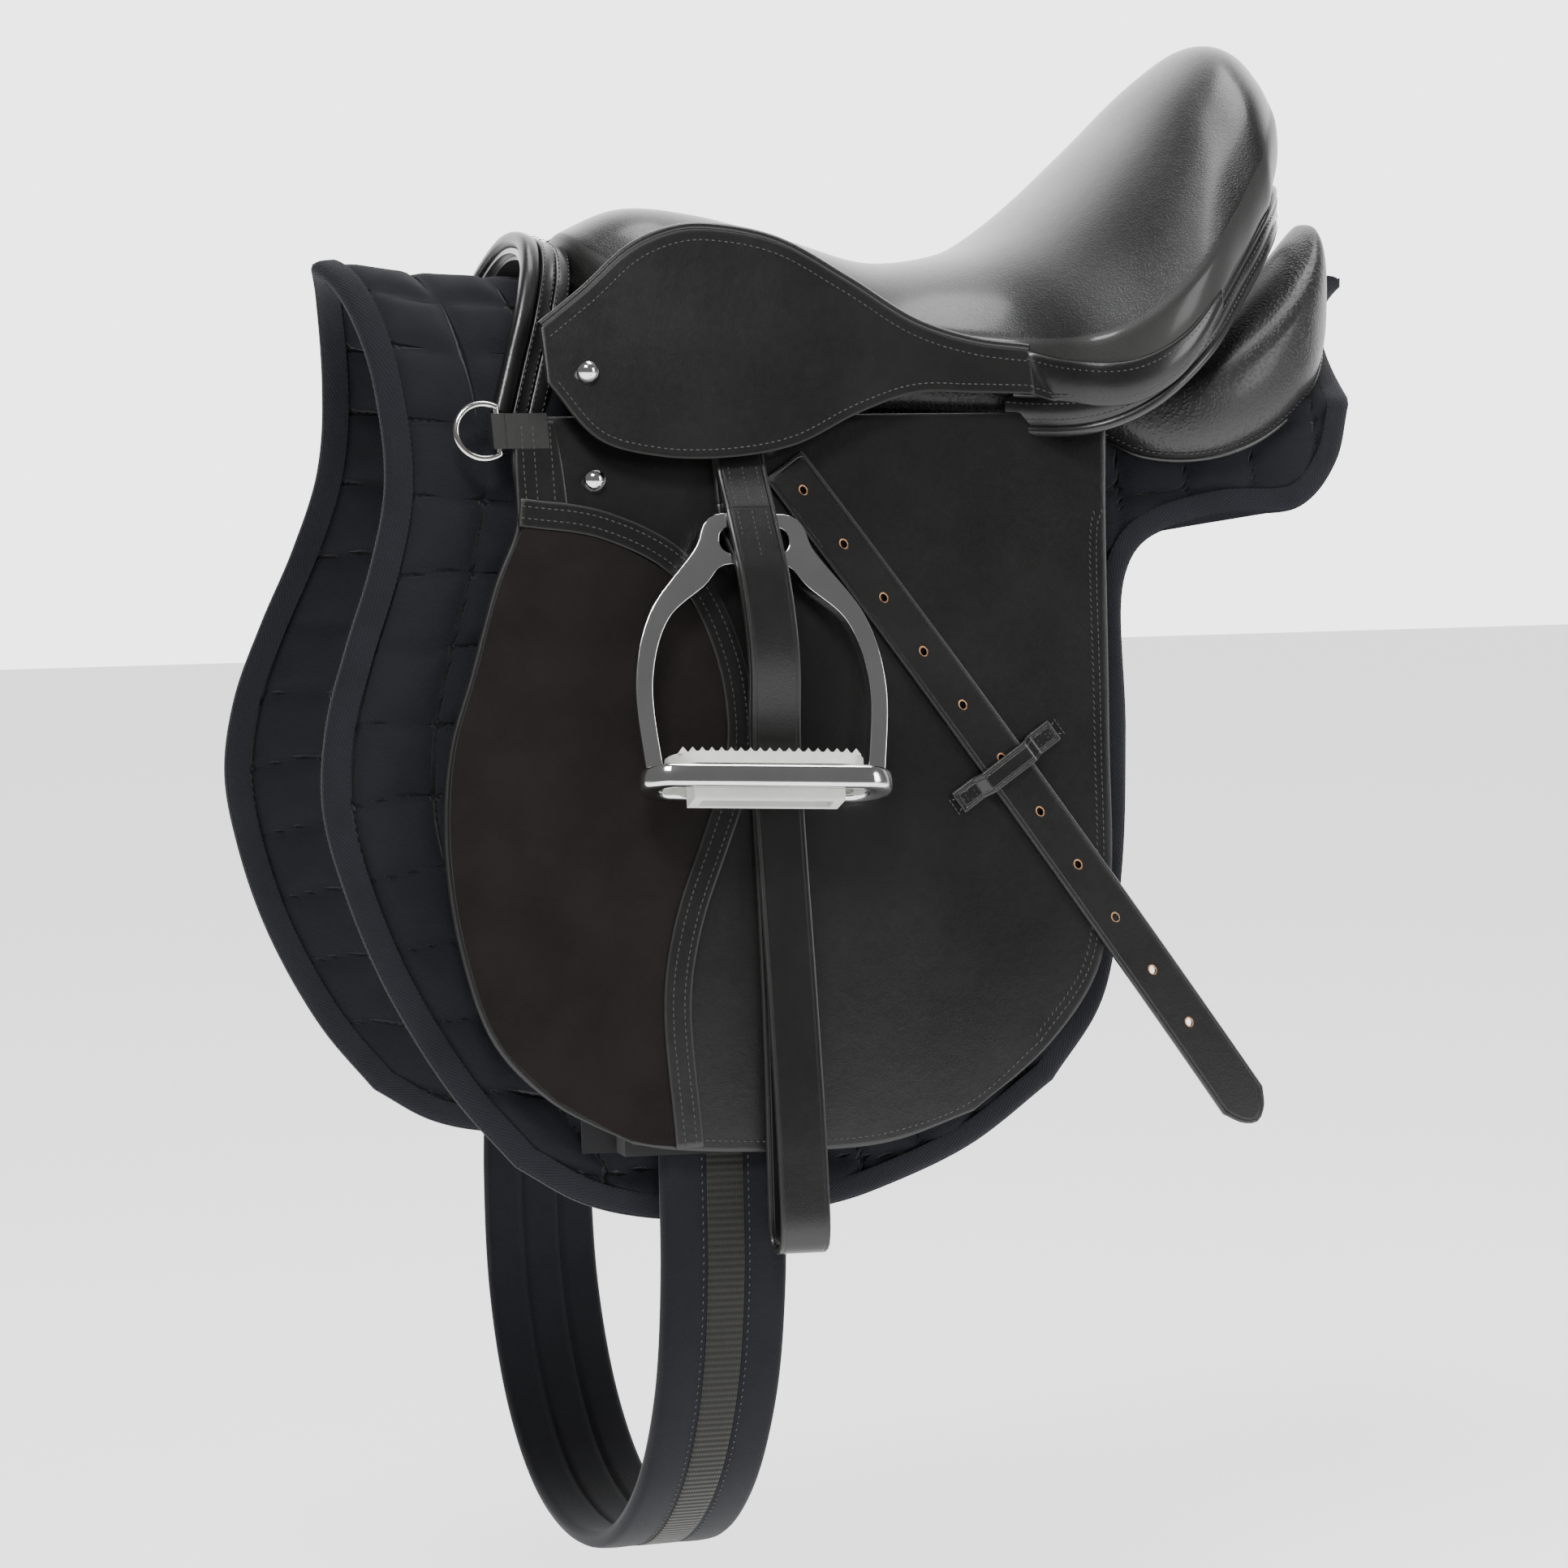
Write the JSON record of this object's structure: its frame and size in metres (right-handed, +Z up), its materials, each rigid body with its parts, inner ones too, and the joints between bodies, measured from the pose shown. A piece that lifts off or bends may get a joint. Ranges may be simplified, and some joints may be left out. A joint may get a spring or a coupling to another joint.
{
  "type": "english saddle",
  "caption": "English general purpose saddle with quilted pad, girth and run-up stirrup irons on looped leathers; flaps, skirts, stirrups, D-rings and bar catches move.",
  "frame": {"origin": "where the horse's back bears on the panels: on the symmetry plane, level with the panels' underside at the seat's lowest part", "axes": "+X to the cantle (the horse's tail), +Z up, -Y the near (left) side, in the symmetry plane Y = 0"},
  "size_m": [0.6201, 0.4056, 0.815],
  "materials": {
    "quilted_cotton": "quilted cotton twill, blue black",
    "pad_webbing": "woven webbing, black",
    "smooth_leather": "smooth bridle leather, half gloss",
    "suede": "suede, matt",
    "strap_leather": "strap leather with creased edges",
    "girth_padding": "padded synthetic channels",
    "girth_webbing": "ribbed webbing, olive black",
    "seat_leather": "fine grained leather, half gloss",
    "panel_leather": "pebbled leather",
    "seat_foam": "open foam",
    "tree": "laminated beech",
    "rolled_leather": "rolled and stitched leather",
    "polished_steel": "mirror polished",
    "bar_steel": "forged and ground",
    "nickel": "nickel plated",
    "tread_rubber": "white ribbed rubber"
  },
  "bodies": {
    "saddle": {"pad_left": "quilted_cotton", "pad_right": "quilted_cotton", "pad_girth_loops": "pad_webbing", "flap_top_left": "smooth_leather", "flap_top_right": "smooth_leather", "sweat_flap_left": "smooth_leather", "sweat_flap_right": "smooth_leather", "billets_left": "strap_leather", "billets_right": "strap_leather", "girth_webs": "girth_webbing", "seat_cover": "seat_leather", "seat_foam": "seat_foam", "seat_webbing": "girth_webbing", "tree_frame": "tree", "cantle_band": "smooth_leather", "cantle_piping": "rolled_leather", "skirt_top_left": "smooth_leather", "skirt_top_right": "smooth_leather", "leather_top_left": "strap_leather", "leather_top_right": "strap_leather", "leather_buckles": "bar_steel", "stirrup_bar_left": "bar_steel", "stirrup_bar_right": "bar_steel", "studs": "polished_steel", "d_ring_chapes": "smooth_leather", "pommel_roll": "rolled_leather", "pommel_strip": "rolled_leather", "pommel_band": "rolled_leather", "head_plate": "bar_steel", "gullet_plate": "bar_steel", "panel_left": "panel_leather", "panel_right": "panel_leather"},
    "girth": {"girth_sleeve": "girth_padding", "girth_webbing": "girth_webbing", "girth_tabs": "strap_leather", "girth_buckles": "bar_steel"},
    "flap_left": {"flap_left": "smooth_leather", "knee_patch_left": "suede", "leather_tail_left": "strap_leather", "tail_keeper_left": "smooth_leather"},
    "skirt_left": {"skirt_left": "smooth_leather"},
    "stirrup_left": {"leather_loop_left": "strap_leather", "stirrup_iron_left": "polished_steel", "tread_left": "tread_rubber"},
    "catch_left": {"bar_catch_left": "bar_steel"},
    "ring_left": {"d_ring_left": "nickel"},
    "flap_right": {"flap_right": "smooth_leather", "knee_patch_right": "suede", "leather_tail_right": "strap_leather", "tail_keeper_right": "smooth_leather"},
    "skirt_right": {"skirt_right": "smooth_leather"},
    "stirrup_right": {"leather_loop_right": "strap_leather", "stirrup_iron_right": "polished_steel", "tread_right": "tread_rubber"},
    "catch_right": {"bar_catch_right": "bar_steel"},
    "ring_right": {"d_ring_right": "nickel"}
  },
  "joints": [
    {"name": "flap_lift_left", "type": "hinge", "parent": "saddle", "child": "flap_left", "pos_m": [0, -0.11793, -0.038], "axis": [-0.9945, 0.1044, 0], "range_deg": [0, 50]},
    {"name": "stirrup_swing_left", "type": "hinge", "parent": "flap_left", "child": "stirrup_left", "pos_m": [0, -0.11793, -0.038], "axis": [-0.9945, 0.1044, 0], "range_deg": [0, 25]},
    {"name": "skirt_lift_left", "type": "hinge", "parent": "saddle", "child": "skirt_left", "pos_m": [0, -0.1152, 0.017], "axis": [-0.9945, 0.1044, 0], "range_deg": [0, 60]},
    {"name": "catch_open_left", "type": "hinge", "parent": "saddle", "child": "catch_left", "pos_m": [-0.03778, -0.09423, 0.026], "axis": [-0.1044, -0.9945, 0], "range_deg": [0, 80]},
    {"name": "ring_swing_left", "type": "hinge", "parent": "saddle", "child": "ring_left", "pos_m": [-0.189, -0.08667, -0.001], "axis": [0, 0.3048, 0.9524], "range_deg": [0, 70]},
    {"name": "flap_lift_right", "type": "hinge", "parent": "saddle", "child": "flap_right", "pos_m": [0, 0.11793, -0.038], "axis": [0.9945, 0.1044, 0], "range_deg": [0, 50]},
    {"name": "stirrup_swing_right", "type": "hinge", "parent": "flap_right", "child": "stirrup_right", "pos_m": [0, 0.11793, -0.038], "axis": [0.9945, 0.1044, 0], "range_deg": [0, 25]},
    {"name": "skirt_lift_right", "type": "hinge", "parent": "saddle", "child": "skirt_right", "pos_m": [0, 0.1152, 0.017], "axis": [0.9945, 0.1044, 0], "range_deg": [0, 60]},
    {"name": "catch_open_right", "type": "hinge", "parent": "saddle", "child": "catch_right", "pos_m": [-0.03778, 0.09423, 0.026], "axis": [0.1044, -0.9945, 0], "range_deg": [0, 80]},
    {"name": "ring_swing_right", "type": "hinge", "parent": "saddle", "child": "ring_right", "pos_m": [-0.189, 0.08667, -0.001], "axis": [0, 0.3048, -0.9524], "range_deg": [0, 70]},
    {"name": "girth_swing", "type": "hinge", "parent": "saddle", "child": "girth", "pos_m": [-0.092, 0, -0.272], "axis": [0, 1, 0], "range_deg": [-4, 4]}
  ]
}
